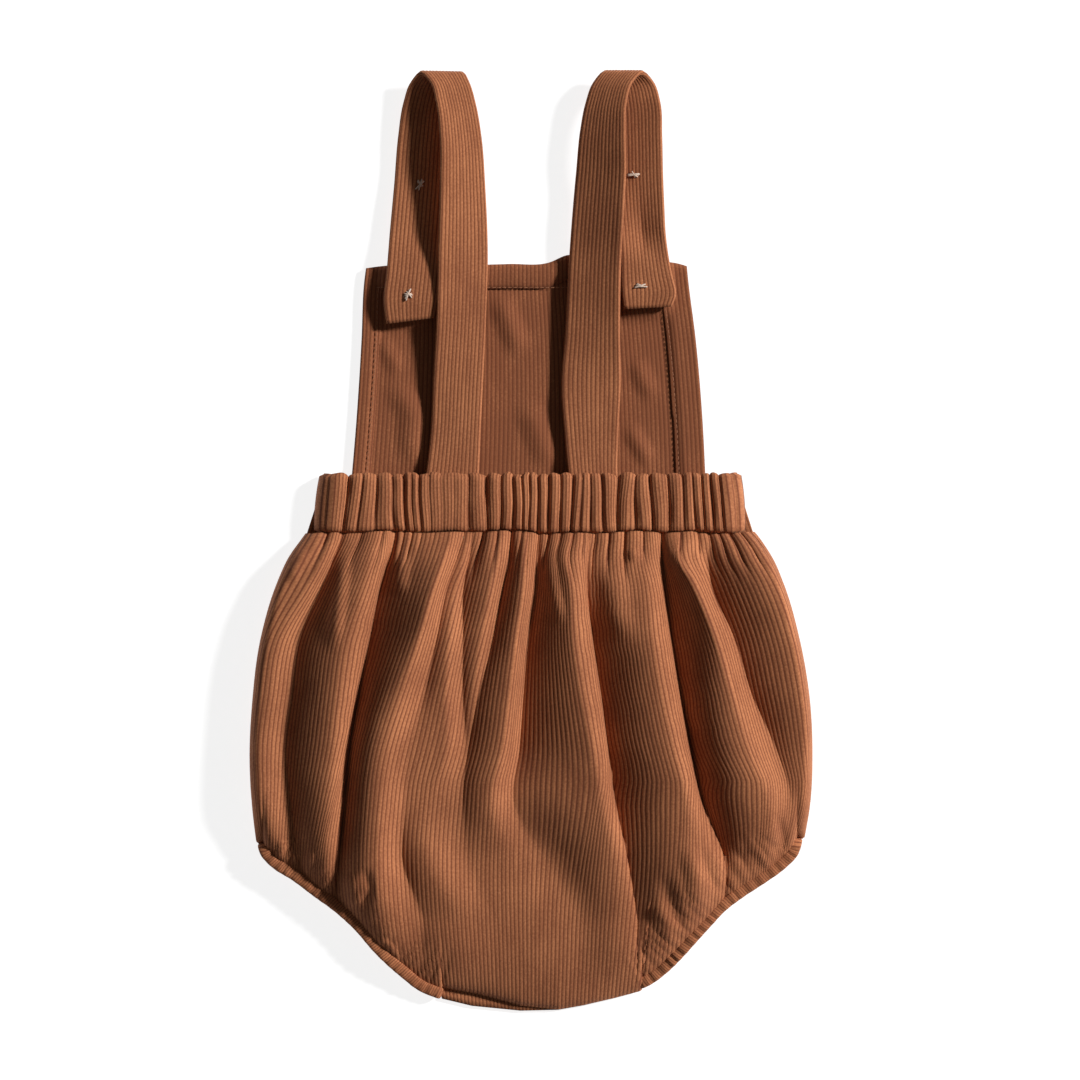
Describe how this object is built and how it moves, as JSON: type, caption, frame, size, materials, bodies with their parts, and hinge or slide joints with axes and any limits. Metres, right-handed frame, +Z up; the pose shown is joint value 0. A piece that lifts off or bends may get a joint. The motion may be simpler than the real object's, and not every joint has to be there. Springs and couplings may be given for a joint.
{
  "type": "romper",
  "caption": "Baby's bubble romper in fine corduroy, laid flat back up: bib, gathered back waist, full body, gathered leg hems and two straps buttoned to the bib.",
  "frame": {"origin": "middle of the laid-out garment, on the surface that it rests on", "axes": "+Z up from the surface, +Y from the crotch to the straps, +X to the right seen from above; the back of the garment faces up"},
  "size_m": [0.2566, 0.4291, 0.0275],
  "materials": {
    "corduroy": "fine cotton corduroy, matt pile in ribs 1.95 mm apart",
    "button": "satin dyed brown"
  },
  "bodies": {
    "root": {"back_body": "corduroy", "back_waistband": "corduroy", "front_body": "corduroy", "bib": "corduroy", "bib_facing": "corduroy", "strap_left": "corduroy", "strap_right": "corduroy", "leg_hem_left": "corduroy", "leg_hem_right": "corduroy", "button_bib_left": "button", "button_bib_right": "button", "button_spare_left": "button", "button_spare_right": "button"}
  },
  "joints": []
}
